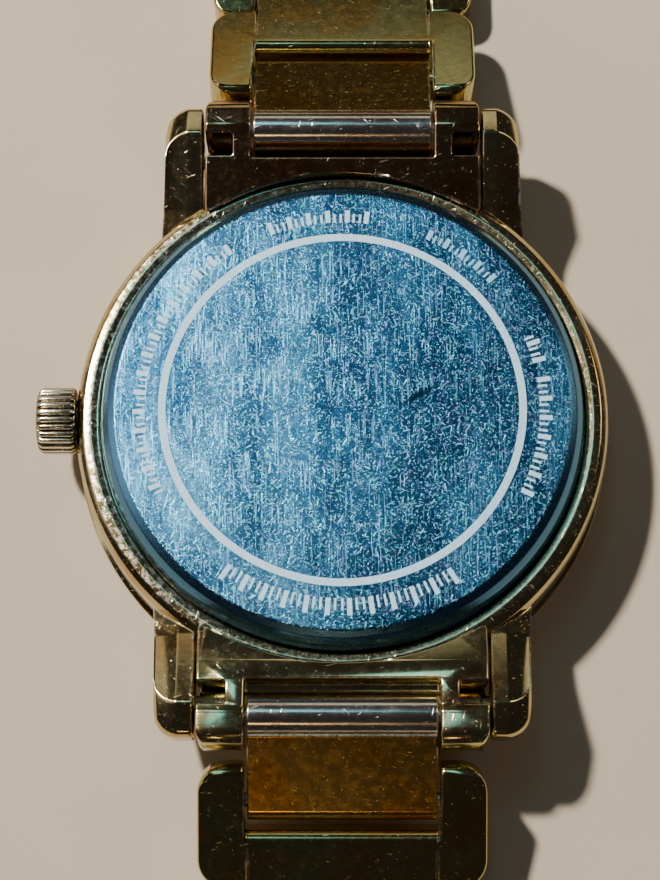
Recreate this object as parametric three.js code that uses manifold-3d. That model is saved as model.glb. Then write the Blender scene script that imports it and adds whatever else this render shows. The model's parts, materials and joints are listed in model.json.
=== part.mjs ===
// A round quartz wristwatch on a link bracelet, lying dial down with the bracelet opened out flat.
// Millimetres, +Z up. The origin is the middle of the crystal's face.
// +Y runs to twelve o'clock and the crown is on -X.
import * as THREE from 'three';
import { mergeVertices } from 'three/addons/utils/BufferGeometryUtils.js';
import Module from 'manifold-3d';

const wasm = await Module();
wasm.setup();

// ---- driving dimensions ----

const caseRadius = 18.7; // the band of the case middle
const backFace = 8.6; // height of the case back's face over the crystal's face
const lugGap = 20; // between the lugs of one end
const barGap = 1.2; // the band to the spring bar's axis
const pivotGap = 1.5; // the spring bar to the end link's pivot
const tipReach = 1.55; // the end link's pivot to the lugs' tips
const lugWidth = 2.7;
const bezelOverhang = 0.3; // the bezel beyond the band
const bezelWidth = 3.4; // the bezel's edge to the crystal's
const crystalThickness = 1.4;
const backRise = 1.7; // the case back's face over the case middle's rim
const rimWidth = 1.13;
const rimSlope = 0.4; // width and drop of the slope outside the rim
const bandSlope = 0.22; // width of the slope from there to the band
const backClearance = 0.08; // between the case back's shoulder and the rim
const shoulderWidth = 1.08; // the case back's domed shoulder
const dialThickness = 0.4;
const crownRadius = 2.38;
const crownLength = 2.72;
const crownFlat = 0.1; // depth of the round flat in the band under the crown
const stemDepth = 2.2; // the crown's and stem's axis behind the dial
const crownFlutes = 26;
const stemRadius = 0.4;
const linkWidth = 19.5;
const linkThickness = 2.8;
const linkPitch = 8.85;
const legReach = 2.6; // a link's pivot to the near end of its legs
const slotDepth = 1.9; // a link's pivot to the wall of its slot
const tongueWidth = 12.8;
const tongueReach = 1.3; // a link's far pivot to the end of its tongue
const pinRadius = 0.5;
const fingerReach = 2.3; // the end link's pivot to its fingers' tips
const endGap = 0.84; // from there to the first link's legs
const barrelRadius = 1.45;
const upperLinks = 4; // twelve o'clock strand, which carries the clasp
const lowerLinks = 5;
const claspLength = 26;
const leafThickness = 0.7;
const buttonTravel = 0.6;

// ---- clearances ----

const seat = 0.05; // between pieces that sit in or on each other
const headGap = 0.25; // between an end link's hollow edge and the case
const noseOverlap = 0.33; // of the end link's upper edge over the case's rim
const swing = 0.4; // between ends that swing past each other
const pinPress = 0.03; // round a pin in the legs that hold it
const pinRun = 0.06; // round a pin in the tongue that turns on it

// ---- strand angles at rest, downwards, in degrees ----

const connectorSlope = 24.4;
const firstLinkSlope = 20;

const fine = 48; // sides of the large rings
const medium = 24;
const small = 12;

const gold = { color: 0xc9a253, roughness: 0.24, metalness: 1 };
const steel = { color: 0x9fb0c0, roughness: 0.2, metalness: 1 };
const brass = { color: 0xb89a5a, roughness: 0.4, metalness: 1 };
const rubber = { color: 0x1c1c1e, roughness: 0.8, metalness: 0 };
const copper = { color: 0xa8613a, roughness: 0.45, metalness: 1 };
const plastic = { color: 0xd8d8d2, roughness: 0.6, metalness: 0 };
const dialPaint = { color: 0xf2efe6, roughness: 0.5, metalness: 0 };
const glass = { color: 0xe8f0f2, roughness: 0.05, metalness: 0, transparent: true, opacity: 0.3 };

const watch = new THREE.Group();

// ---- making solids ----

const rad = THREE.MathUtils.degToRad;

function toSolid(geometry) {
  const bare = geometry.clone();
  bare.deleteAttribute('normal');
  bare.deleteAttribute('uv');
  const merged = mergeVertices(bare, 1e-4);
  const index = merged.index.array;
  const kept = [];
  for (let i = 0; i < index.length; i += 3) {
    const [a, b, c] = index.slice(i, i + 3);
    if (a !== b && b !== c && c !== a) kept.push(a, b, c);
  }
  const vertProperties = new Float32Array(merged.attributes.position.array);
  return new wasm.Manifold(new wasm.Mesh({ numProp: 3, vertProperties, triVerts: new Uint32Array(kept) }));
}

function moved(geometry, matrix) {
  geometry.applyMatrix4(matrix);
  return toSolid(geometry);
}

function addPiece(name, solid, finish, parent = watch) {
  const { vertProperties, triVerts } = solid.getMesh();
  const geometry = new THREE.BufferGeometry();
  geometry.setAttribute('position', new THREE.BufferAttribute(vertProperties, 3));
  geometry.setIndex(new THREE.BufferAttribute(triVerts, 1));
  geometry.computeVertexNormals();
  const mesh = new THREE.Mesh(geometry, new THREE.MeshStandardMaterial(finish));
  mesh.name = name;
  parent.add(mesh);
  return mesh;
}

// An outline through corners [x, y, radius], each rounded by its radius.
function outline(corners, arcSteps = 3) {
  const shape = new THREE.Shape();
  corners.forEach(([x, y, radius = 0], i) => {
    const here = new THREE.Vector2(x, y);
    const last = corners[(i + corners.length - 1) % corners.length];
    const next = corners[(i + 1) % corners.length];
    const back = new THREE.Vector2(last[0], last[1]).sub(here).normalize();
    const on = new THREE.Vector2(next[0], next[1]).sub(here).normalize();
    const half = Math.acos(THREE.MathUtils.clamp(back.dot(on), -1, 1)) / 2;
    if (radius === 0) {
      if (i === 0) shape.moveTo(x, y);
      else shape.lineTo(x, y);
      return;
    }
    const reach = radius / Math.tan(half);
    const middle = back.clone().add(on).normalize().multiplyScalar(radius / Math.sin(half)).add(here);
    const from = back.clone().multiplyScalar(reach).add(here).sub(middle);
    const to = on.clone().multiplyScalar(reach).add(here).sub(middle);
    const turn = Math.atan2(from.cross(to), from.dot(to));
    for (let k = 0; k <= arcSteps; k += 1) {
      const angle = from.angle() + (turn * k) / arcSteps;
      const px = middle.x + radius * Math.cos(angle);
      const py = middle.y + radius * Math.sin(angle);
      if (i === 0 && k === 0) shape.moveTo(px, py);
      else shape.lineTo(px, py);
    }
  });
  return shape;
}

// A plan outline in x, y raised from low to high.
function plate(shape, low, high, sides = small) {
  const facts = { depth: high - low, bevelEnabled: false, curveSegments: sides };
  const geometry = new THREE.ExtrudeGeometry(shape, facts);
  return moved(geometry, new THREE.Matrix4().makeTranslation(0, 0, low));
}

// A side outline in y, z drawn out along x.
const sideways = new THREE.Matrix4().makeBasis(
  new THREE.Vector3(0, 1, 0),
  new THREE.Vector3(0, 0, 1),
  new THREE.Vector3(1, 0, 0),
);

function drawn(shape, from, to) {
  const geometry = new THREE.ExtrudeGeometry(shape, { depth: to - from, bevelEnabled: false });
  return moved(geometry, new THREE.Matrix4().makeTranslation(from, 0, 0).multiply(sideways));
}

function box(x0, x1, y0, y1, z0, z1) {
  const geometry = new THREE.BoxGeometry(x1 - x0, y1 - y0, z1 - z0);
  const middle = new THREE.Matrix4().makeTranslation((x0 + x1) / 2, (y0 + y1) / 2, (z0 + z1) / 2);
  return moved(geometry, middle);
}

// A cylinder along x, through y, z.
function rod(radius, x0, x1, y, z, sides = small) {
  const geometry = new THREE.CylinderGeometry(radius, radius, x1 - x0, sides);
  const turn = new THREE.Matrix4().makeRotationZ(Math.PI / 2);
  return moved(geometry, new THREE.Matrix4().makeTranslation((x0 + x1) / 2, y, z).multiply(turn));
}

// A cylinder along z, through x, y.
function post(radius, x, y, low, high, sides = small) {
  const geometry = new THREE.CylinderGeometry(radius, radius, high - low, sides);
  const turn = new THREE.Matrix4().makeRotationX(Math.PI / 2);
  return moved(geometry, new THREE.Matrix4().makeTranslation(x, y, (low + high) / 2).multiply(turn));
}

// A closed profile of [radius, height], counter-clockwise, turned about z.
function turned(profile, sides = fine) {
  const points = [...profile, profile[0]].map(([r, z]) => new THREE.Vector2(r, z));
  const geometry = new THREE.LatheGeometry(points, sides);
  return moved(geometry, new THREE.Matrix4().makeRotationX(Math.PI / 2));
}

function mirroredX(solid) {
  return solid.mirror([1, 0, 0]);
}

function mirroredY(solid) {
  return solid.mirror([0, 1, 0]);
}

// ---- places worked out from the driving dimensions ----

const rimHeight = backFace - backRise;
const bezelRadius = caseRadius + bezelOverhang;
const crystalRadius = bezelRadius - bezelWidth;
const bevelRadius = caseRadius - bandSlope;
const bevelHeight = rimHeight - rimSlope;
const rimOuter = bevelRadius - rimSlope;
const rimInner = rimOuter - rimWidth;
const backRadius = rimInner - backClearance;
const backFlatRadius = backRadius - shoulderWidth;
const bezelTop = crystalThickness + 0.25; // where the bezel meets the case middle
const bandLow = bezelTop + 1.1;
const bandHigh = bevelHeight - 0.7;
const dialFront = crystalThickness + 1.1; // leaves room for the hands
const dialBack = dialFront + dialThickness;
const crownHeight = dialBack + stemDepth;
const dialRadius = crystalRadius - 0.4;
const boreRadius = dialRadius + 0.1;
const plateRadius = dialRadius - 2.3; // the movement's main plate
const spread = plateRadius / 12.9; // places on the main plate grow with it
const backSeat = rimHeight - 0.8; // floor of the recess that takes the case back
const lugInner = lugGap / 2;
const lugOuter = lugInner + lugWidth;
const lugTop = backFace - 0.05;
const barHeight = 4.4;
const barReach = caseRadius + barGap;
const barRadius = 0.65;
const barTipRadius = 0.4;
const barTipLength = 0.9;
const endPivot = { y: barReach + pivotGap, z: backFace - 1.6 }; // the pin that joins end link and connector
const lugReach = endPivot.y + tipReach;
const connectorPitch = fingerReach + endGap + legReach;
const endLinkHalf = lugInner - 0.15;
const fingerInner = tongueWidth / 2 + 0.2;
const notchDepth = 0.6 * (endLinkHalf - fingerInner); // the cut that bares the spring bar
const linkHalf = linkWidth / 2;
const tongueHalf = tongueWidth / 2;
const thick = linkThickness / 2;
const shoulder = linkPitch - legReach - swing - 0.05;
const tableHeight = thick + 0.01; // a link's pivot when the link lies on the table

// ---- the case ----

function caseMiddle() {
  const ring = turned([
    [crystalRadius - 1, bezelTop + seat],
    [caseRadius - 0.75, bezelTop + seat],
    [caseRadius - 0.6, bandLow - 0.5],
    [caseRadius, bandLow],
    [caseRadius, bandHigh],
    [bevelRadius, bevelHeight],
    [rimOuter, rimHeight],
    [rimInner, rimHeight],
    [rimInner, backSeat],
    [boreRadius, backSeat],
    [boreRadius, dialFront - seat],
    [crystalRadius - 1, dialFront - seat],
  ]);
  const keepOut = post(boreRadius + 0.2, 0, 0, 0, 10, fine);
  let solid = ring;
  const upperRight = lug().subtract(keepOut);
  for (const one of [upperRight, mirroredX(upperRight)]) {
    solid = solid.add(one).add(mirroredY(one));
  }
  const backRecess = post(rimInner, 0, 0, backSeat, 10, fine);
  const bezelRoom = post(bezelRadius + 0.2, 0, 0, 0, bezelTop + seat, fine);
  return solid
    .subtract(backRecess)
    .subtract(bezelRoom)
    .subtract(rod(crownRadius + 0.12, -caseRadius - 1, crownFlat - caseRadius, 0, crownHeight, medium))
    .subtract(rod(crownTubeRadius + seat, -caseRadius - 1, -boreRadius + 1, 0, crownHeight));
}

// The lug at +X, +Y, with a blind hole for the spring bar's tip.
function lug() {
  const side = outline([
    [caseRadius - 6.2, lugTop - 2.95],
    [caseRadius - 6.2, bandLow - 0.05],
    [caseRadius - 1.2, bandLow - 0.05],
    [lugReach - 2.6, 3.15, 2.5],
    [lugReach - 0.2, 4.6, 1.6],
    [lugReach, lugTop - 0.65, 0.6],
    [lugReach - 2.25, lugTop, 0.5],
    [caseRadius - 3.2, lugTop - 2.05, 4],
  ]);
  const plan = outline([
    [lugInner, caseRadius - 7.7],
    [lugOuter + 0.5, caseRadius - 7.7],
    [lugOuter, caseRadius - 0.7],
    [lugOuter, lugReach, 1.7],
    [lugInner, lugReach, 0.4],
  ]);
  const hole = rod(barTipRadius + seat, lugInner - 1, lugInner + barTipLength + 0.15, barReach, barHeight);
  return drawn(side, lugInner, lugOuter + 0.5).intersect(plate(plan, 0, 10)).subtract(hole);
}

function bezel() {
  const inner = crystalRadius + 0.5;
  return turned([
    [crystalRadius - 0.9, crystalThickness + seat],
    [inner, crystalThickness + seat],
    [inner, 0.3],
    [inner + 0.6, 0.2],
    [bezelRadius - 0.7, 0.45],
    [bezelRadius, 1],
    [bezelRadius - 0.1, 1.3],
    [bezelRadius - 0.6, bezelTop],
    [crystalRadius - 0.9, bezelTop],
  ]);
}

function crystal() {
  return turned([
    [0, 0],
    [crystalRadius - 0.4, 0],
    [crystalRadius, 0.35],
    [crystalRadius, crystalThickness],
    [0, crystalThickness],
  ]);
}

function crystalGasket() {
  return turned([
    [crystalRadius + seat, 0.4],
    [crystalRadius + 0.5 - seat, 0.4],
    [crystalRadius + 0.5 - seat, crystalThickness],
    [crystalRadius + seat, crystalThickness],
  ]);
}

function caseBack() {
  const lip = boreRadius - 0.12;
  return turned([
    [0, backFace - 1.1],
    [lip - 0.85, backFace - 1.1],
    [lip - 0.85, backSeat - 0.2],
    [lip, backSeat - 0.2],
    [lip, backSeat + 0.45],
    [backRadius, backSeat + 0.45],
    [backRadius, backFace - 1.55],
    [backRadius - 0.15, backFace - 0.85],
    [backRadius - 0.55, backFace - 0.3],
    [backFlatRadius, backFace],
    [0, backFace],
  ]);
}

function caseBackGasket() {
  return turned([
    [boreRadius + 0.15, backSeat + seat],
    [backRadius - 0.4, backSeat + seat],
    [backRadius - 0.4, backSeat + 0.4],
    [boreRadius + 0.15, backSeat + 0.4],
  ]);
}

// ---- crown and stem ----

const crownTubeRadius = 1;
const crownInner = -caseRadius; // the crown's face towards the case
const crownOuter = crownInner - crownLength;

function crown() {
  const knurl = new THREE.Shape();
  const steps = crownFlutes * 2;
  for (let i = 0; i < steps; i += 1) {
    const angle = (2 * Math.PI * i) / steps;
    const r = i % 2 === 0 ? crownRadius : crownRadius - 0.2;
    if (i === 0) knurl.moveTo(r * Math.cos(angle), r * Math.sin(angle));
    else knurl.lineTo(r * Math.cos(angle), r * Math.sin(angle));
  }
  const body = drawn(knurl, crownOuter, crownInner);
  const edges = turned([
    [0, 0],
    [crownRadius - 0.3, 0],
    [crownRadius + 0.02, 0.35],
    [crownRadius + 0.02, crownLength - 0.35],
    [crownRadius - 0.3, crownLength],
    [0, crownLength],
  ], medium);
  const lying = edges.rotate([0, 90, 0]).translate([crownOuter, 0, 0]);
  const well = rod(crownTubeRadius + 0.5, crownInner - 1.7, crownInner + 1, 0, 0);
  const socket = rod(stemRadius + seat, crownOuter + 0.8, crownInner, 0, 0);
  return body.intersect(lying).subtract(well).subtract(socket).translate([0, 0, crownHeight]);
}

function crownTube() {
  const pipe = rod(crownTubeRadius, crownInner - 0.9, -boreRadius - 0.4, 0, crownHeight);
  return pipe.subtract(rod(stemRadius + 0.12, crownInner - 2, -boreRadius + 1, 0, crownHeight));
}

function crownGasket() {
  const ring = rod(crownTubeRadius + 0.5 - seat, crownInner - 0.75, crownInner - 0.35, 0, crownHeight);
  return ring.subtract(rod(crownTubeRadius + seat, crownInner - 1, crownInner, 0, crownHeight));
}

const stemEnd = -4.6 * spread;
const leverPlace = -8.6 * spread;

function stem() {
  const shaft = rod(stemRadius, crownOuter + 0.9, stemEnd, 0, crownHeight);
  const groove = rod(1, leverPlace - 0.3, leverPlace + 0.3, 0, crownHeight);
  return shaft.subtract(groove.subtract(rod(0.24, leverPlace - 1, leverPlace + 1, 0, crownHeight)));
}

// The fork in the stem's groove, which travels in and out with it.
function settingLever() {
  const fork = box(leverPlace - 0.2, leverPlace + 0.2, -1, 3.2, crownHeight - 0.45, crownHeight + 0.45);
  const gap = box(leverPlace - 1, leverPlace + 1, -2, 0.35, crownHeight - 0.3, crownHeight + 0.3);
  return fork.subtract(gap);
}

// ---- dial, hands and movement ----

const centre = { seconds: 0.2, minute: 0.5, hour: 0.82 }; // outer radii of the three arbors
const plateLow = dialBack + 0.55;
const plateHigh = crownHeight - stemRadius - 0.45;
const bridgeLow = crownHeight + stemRadius + 0.1;

function dial() {
  let solid = post(dialRadius, 0, 0, dialFront, dialBack, fine).subtract(post(1.05, 0, 0, 0, 9));
  for (let hour = 0; hour < 12; hour += 1) {
    const long = hour % 3 === 0 ? 3.2 : 2.2;
    const far = dialRadius - 1.6;
    const bar = box(-0.3, 0.3, far - long, far, dialFront - 0.18, dialFront + 0.1);
    solid = solid.add(bar.rotate([0, 0, 30 * hour]));
  }
  return solid;
}

// A tapered hand from its hub towards angle, in degrees from +Y.
function hand(length, tail, width, hub, bore, low, high, angle) {
  const blade = outline([
    [-width / 2, -tail],
    [width / 2, -tail],
    [width / 2, length * 0.7],
    [0, length],
    [-width / 2, length * 0.7],
  ]);
  const solid = plate(blade, low, high).add(post(hub, 0, 0, low, high, small));
  return solid.subtract(post(bore, 0, 0, 0, 9)).rotate([0, 0, angle]);
}

function secondHand() {
  const low = crystalThickness + 0.12;
  return hand(dialRadius - 2.6, 3.4, 0.24, 0.5, centre.seconds + seat, low, low + 0.12, -200);
}

function minuteHand() {
  const low = crystalThickness + 0.42;
  return hand(dialRadius - 3.2, 2, 0.8, 0.9, centre.minute + seat, low, low + 0.14, -60);
}

function hourHand() {
  const low = crystalThickness + 0.7;
  return hand(dialRadius - 7, 2, 1.1, 1.15, centre.hour + seat, low, low + 0.14, 55);
}

// A wheel on a pipe round the middle of the movement.
function wheel(radius, teeth, low, high, pipeRadius, boreSize, pipeLow) {
  const rim = new THREE.Shape();
  for (let i = 0; i < teeth * 2; i += 1) {
    const angle = (Math.PI * i) / teeth;
    const r = i % 2 === 0 ? radius : radius - 0.35;
    if (i === 0) rim.moveTo(r * Math.cos(angle), r * Math.sin(angle));
    else rim.lineTo(r * Math.cos(angle), r * Math.sin(angle));
  }
  const solid = plate(rim, low, high).add(post(pipeRadius, 0, 0, pipeLow, high));
  return boreSize > 0 ? solid.subtract(post(boreSize, 0, 0, 0, 9)) : solid;
}

function secondsWheel() {
  return wheel(2.8, 20, plateHigh + 0.7, plateHigh + 0.9, centre.seconds, 0, crystalThickness + 0.1);
}

function centreWheel() {
  const bore = centre.seconds + seat;
  return wheel(3.4, 24, plateHigh + 0.2, plateHigh + 0.45, centre.minute, bore, crystalThickness + 0.4);
}

function hourWheel() {
  const bore = centre.minute + seat;
  return wheel(3, 22, dialBack + 0.15, dialBack + 0.4, centre.hour, bore, crystalThickness + 0.66);
}

function movementRing() {
  const ring = turned([
    [plateRadius + seat, dialBack + seat],
    [dialRadius - 0.1, dialBack + seat],
    [dialRadius - 0.1, backSeat - 0.4],
    [plateRadius + seat, backSeat - 0.4],
  ], medium);
  return ring.subtract(box(-20, -5, -1.3, 1.3, crownHeight - 1.3, 9));
}

function mainPlate() {
  let solid = post(plateRadius, 0, 0, plateLow, plateHigh, medium);
  solid = solid.subtract(post(centre.hour + 0.1, 0, 0, 0, 9));
  for (const x of [-9.5, 9.5]) {
    solid = solid.add(post(0.9, x * spread, 5.5 * spread, plateHigh - 0.1, bridgeLow - 0.4));
  }
  return solid;
}

function trainBridge() {
  const corners = [
    [-11, 2.2, 1],
    [-6, 1.6, 1],
    [-3.6, -3.2, 1],
    [1.6, -3.2, 1],
    [3.6, 1.8, 1],
    [11, 2.4, 1],
    [9, 9, 2],
    [-9, 9, 2],
  ];
  const spreadOut = corners.map((corner) => corner.map((value) => value * spread));
  return plate(outline(spreadOut), bridgeLow, bridgeLow + 0.35);
}

const cell = { x: 6.2 * spread, y: -5.6 * spread, radius: 4.1 * spread };

function battery() {
  return post(cell.radius, cell.x, cell.y, plateHigh + seat, plateHigh + 2.15, medium);
}

function batteryClamp() {
  const reach = cell.radius + 1;
  const across = [cell.y - 0.8, cell.y + 0.8];
  const top = plateHigh + 2.45;
  const strap = box(cell.x - reach, cell.x + reach, ...across, top - 0.25, top);
  const foot = box(cell.x - reach, cell.x - reach + 0.7, ...across, plateHigh + seat, top);
  return strap.add(foot);
}

function coil() {
  const y = -8.2 * spread;
  const z = plateHigh + 1.15;
  const core = rod(0.35, -7.6 * spread, 0.2 * spread, y, z, 8);
  return core.add(rod(1, -6.6 * spread, -0.8 * spread, y, z, small));
}

// ---- the bracelet ----

function springBar() {
  const body = rod(barRadius, -endLinkHalf + 0.3, endLinkHalf - 0.3, barReach, barHeight);
  const tip = lugInner + barTipLength;
  return body.add(rod(barTipRadius, -tip, tip, barReach, barHeight));
}

// The end link at +Y: a concave edge round the case, two fingers, and a slot for the connector's barrel.
function endLink() {
  const { y, z } = endPivot;
  const side = outline([
    [caseRadius - 4.7, 3.3],
    [y + fingerReach - 1.5, 3.5, 1.2],
    [y + fingerReach - 0.3, 4.8, 1.2],
    [y + fingerReach, z + 1.35, 1.3],
    [y - 0.1, z + 1.5, 0.8],
    [caseRadius - 1.1, z + 0.7, 3],
    [caseRadius - 4.7, z - 0.1],
  ]);
  const plan = outline([
    [-endLinkHalf, caseRadius - 4.7],
    [endLinkHalf, caseRadius - 4.7],
    [endLinkHalf, y + fingerReach + 0.1, 0.9],
    [-endLinkHalf, y + fingerReach + 0.1, 0.9],
  ]);
  const caseRoom = turned([
    [0, 0],
    [caseRadius + headGap, 0],
    [caseRadius + headGap, bevelHeight - 0.6],
    [bevelRadius + headGap, bevelHeight + 0.1],
    [rimOuter + headGap, rimHeight + 0.1],
    [rimOuter - noseOverlap, rimHeight + headGap],
    [rimOuter - noseOverlap, 12],
    [0, 12],
  ]);
  const ledge = box(-fingerInner, fingerInner, barReach - 0.95, y + 4, barHeight + barRadius + 1.05, 12);
  const deep = box(-fingerInner, fingerInner, barReach - 0.3, y + 4, barHeight + barRadius + 0.3, 12);
  const slot = ledge.add(deep);
  const through = box(-fingerInner, fingerInner, y - 0.5, y + 4, 0, 12);
  let solid = drawn(side, -endLinkHalf, endLinkHalf).intersect(plate(plan, 0, 12));
  solid = solid.subtract(caseRoom).subtract(slot).subtract(through);
  solid = solid.subtract(rod(barRadius + seat, -lugInner, lugInner, barReach, barHeight));
  solid = solid.subtract(rod(pinRadius + pinPress, -lugInner, lugInner, y, z));
  for (const x of [-endLinkHalf - 1, endLinkHalf - notchDepth]) {
    const across = [x, x + notchDepth + 1];
    solid = solid.subtract(box(...across, barReach - 0.8, barReach + 0.8, barHeight - barRadius - 0.1, 12));
  }
  return solid;
}

// The connector, drawn along +Y from its barrel at the origin to its far pivot.
function connector() {
  const far = connectorPitch + tongueReach;
  const slab = outline([
    [0, -thick],
    [far, -thick, 0.9],
    [far, thick - 0.4, 0.8],
    [0, thick - 0.4],
  ]);
  const barrel = rod(barrelRadius, -tongueHalf, tongueHalf, 0, 0, medium / 2);
  const solid = drawn(slab, -tongueHalf, tongueHalf).add(barrel);
  const bores = rod(pinRadius + pinRun, -linkHalf, linkHalf, 0, 0);
  return solid.subtract(bores).subtract(bores.translate([0, connectorPitch, 0]));
}

// A T-shaped link, drawn along +Y from its near pivot at the origin.
function link(withTongue = true) {
  const end = withTongue ? linkPitch + tongueReach : shoulder;
  const side = outline([
    [-legReach, -thick, 0.9],
    [shoulder, -thick, 0.35],
    [shoulder, thick, 0.35],
    [-legReach, thick, 0.7],
  ]);
  const plan = outline([
    [-linkHalf, -legReach, 1],
    [linkHalf, -legReach, 1],
    [linkHalf, shoulder, 1.45],
    [-linkHalf, shoulder, 1.45],
  ]);
  const tongueSide = outline([
    [slotDepth, -thick],
    [end, -thick, 0.9],
    [end, thick, 0.8],
    [slotDepth, thick],
  ]);
  const slot = box(-fingerInner, fingerInner, -legReach - 1, slotDepth, -thick - 1, thick + 1);
  let solid = drawn(side, -linkHalf, linkHalf).intersect(plate(plan, -thick - 1, thick + 1)).subtract(slot);
  if (withTongue) solid = solid.add(drawn(tongueSide, -tongueHalf, tongueHalf));
  const near = rod(pinRadius + pinPress, -linkHalf - 1, linkHalf + 1, 0, 0);
  const farBore = rod(pinRadius + pinRun, -linkHalf - 1, linkHalf + 1, linkPitch, 0);
  return solid.subtract(near).subtract(farBore);
}

function pin(half = linkHalf - 0.05) {
  return rod(pinRadius, -half, half, 0, 0);
}

// ---- the clasp, drawn along +Y from its pivot on the last link ----

const claspHalf = 8.8;
const wallInner = claspHalf - 0.9;
const buttonInner = wallInner - 0.1;
const leafHalf = buttonInner - buttonTravel - 0.1;
const coverFloor = -leafThickness / 2 - 0.25;
const foldFar = { y: claspLength - 1.2, z: 0 }; // cover and outer leaf
const foldNear = { y: 5.6, z: leafThickness / 2 + 0.13 }; // outer leaf and inner leaf
const knuckle = 0.58;
const rivet = 0.32;
const button = { y: 11, long: 3, high: 1.2, z: 0.15 };

function claspCover() {
  const side = outline([
    [-legReach, -thick, 0.9],
    [foldFar.y + 0.7, -thick, 0.5],
    [foldFar.y + 0.7, 0.75, 0.7],
    [foldFar.y - 1.6, 1.25, 0.8],
    [-legReach, thick, 0.7],
  ]);
  const plan = outline([
    [-linkHalf, -legReach, 1],
    [linkHalf, -legReach, 1],
    [linkHalf, 2.6, 1.2],
    [claspHalf, 3.8, 1],
    [claspHalf, foldFar.y + 1, 1],
    [-claspHalf, foldFar.y + 1, 1],
    [-claspHalf, 3.8, 1],
    [-linkHalf, 2.6, 1.2],
  ]);
  const slot = box(-fingerInner, fingerInner, -legReach - 1, slotDepth, -thick - 1, thick + 1);
  const tray = box(-wallInner, wallInner, slotDepth + 1.2, foldFar.y + 3, coverFloor, thick + 1);
  const lip = box(-wallInner, wallInner, foldFar.y + 0.45, foldFar.y + 3, -thick - 1, thick + 1);
  let solid = drawn(side, -linkHalf, linkHalf).intersect(plate(plan, -thick - 1, thick + 1));
  solid = solid.subtract(slot).subtract(tray).subtract(lip);
  solid = solid.subtract(rod(pinRadius + pinPress, -linkHalf - 1, linkHalf + 1, 0, 0));
  solid = solid.subtract(rod(rivet + seat, -wallInner - 0.5, wallInner + 0.5, foldFar.y, foldFar.z));
  const { y, long, high, z } = button;
  const room = { y: long / 2 + seat, z: high / 2 + seat };
  return solid.subtract(box(-linkHalf, linkHalf, y - room.y, y + room.y, z - room.z, z + room.z));
}

function outerLeaf() {
  const half = leafThickness / 2;
  const { y, z } = foldNear;
  let solid = box(-leafHalf, leafHalf, y, foldFar.y, -half, half);
  solid = solid.add(rod(knuckle, -leafHalf, leafHalf, foldFar.y, foldFar.z));
  solid = solid.add(rod(rivet, -wallInner - 0.4, wallInner + 0.4, foldFar.y, foldFar.z));
  solid = solid.add(rod(knuckle + 0.1, -leafHalf, leafHalf, y, z));
  solid = solid.subtract(box(-3.3, 3.3, y - 2, y + knuckle + 0.4, -3, 3));
  return solid.subtract(rod(rivet + seat, -5, 5, y, z));
}

function innerLeaf() {
  const half = leafThickness / 2;
  const level = foldNear.z * 2;
  const { y, z } = foldNear;
  const end = foldFar.y + 2.6;
  let solid = box(-leafHalf + 1.2, leafHalf - 1.2, y + knuckle + 0.7, end, level - half, level + half);
  solid = solid.add(box(-3.1, 3.1, y, y + knuckle + 1, level - half, level + half));
  solid = solid.add(rod(knuckle + 0.1, -3.1, 3.1, y, z));
  solid = solid.add(rod(rivet, -4.6, 4.6, y, z));
  solid = solid.add(rod(1, -leafHalf + 1.2, leafHalf - 1.2, end, level + 0.3));
  return solid.subtract(rod(pinRadius + seat, -linkHalf, linkHalf, end, level + 0.3));
}

function claspSpringBar() {
  const bar = rod(pinRadius, -leafHalf + 0.4, leafHalf - 0.4, foldFar.y + 2.6, foldNear.z * 2 + 0.3);
  const lip = rod(pinRadius * 0.6, -leafHalf - 0.5, leafHalf + 0.5, foldFar.y + 2.6, foldNear.z * 2 + 0.3);
  return bar.add(lip);
}

function pushButton() {
  const { y, long, high, z } = button;
  const outer = claspHalf + buttonTravel + 0.15;
  return box(buttonInner, outer, y - long / 2, y + long / 2, z - high / 2, z + high / 2);
}

// ---- putting the watch together ----

function addHead() {
  addPiece('case_middle', caseMiddle(), gold);
  addPiece('bezel', bezel(), gold);
  addPiece('crystal', crystal(), glass);
  addPiece('crystal_gasket', crystalGasket(), plastic);
  addPiece('case_back', caseBack(), steel);
  addPiece('case_back_gasket', caseBackGasket(), rubber);
  addPiece('crown', crown(), gold);
  addPiece('crown_tube', crownTube(), steel);
  addPiece('crown_gasket', crownGasket(), rubber);
  addPiece('stem', stem(), steel);
  addPiece('setting_lever', settingLever(), steel);
}

function addMovement() {
  addPiece('dial', dial(), dialPaint);
  addPiece('second_hand', secondHand(), gold);
  addPiece('minute_hand', minuteHand(), gold);
  addPiece('hour_hand', hourHand(), gold);
  addPiece('seconds_wheel', secondsWheel(), brass);
  addPiece('centre_wheel', centreWheel(), brass);
  addPiece('hour_wheel', hourWheel(), brass);
  addPiece('movement_ring', movementRing(), plastic);
  addPiece('main_plate', mainPlate(), brass);
  addPiece('train_bridge', trainBridge(), steel);
  addPiece('coil', coil(), copper);
  addPiece('battery', battery(), steel);
  addPiece('battery_clamp', batteryClamp(), steel);
}

function place(mesh, y, z, slope, side) {
  mesh.position.set(0, side * y, z);
  mesh.rotation.set(rad(-slope * side), 0, side < 0 ? Math.PI : 0);
  return mesh;
}

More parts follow.
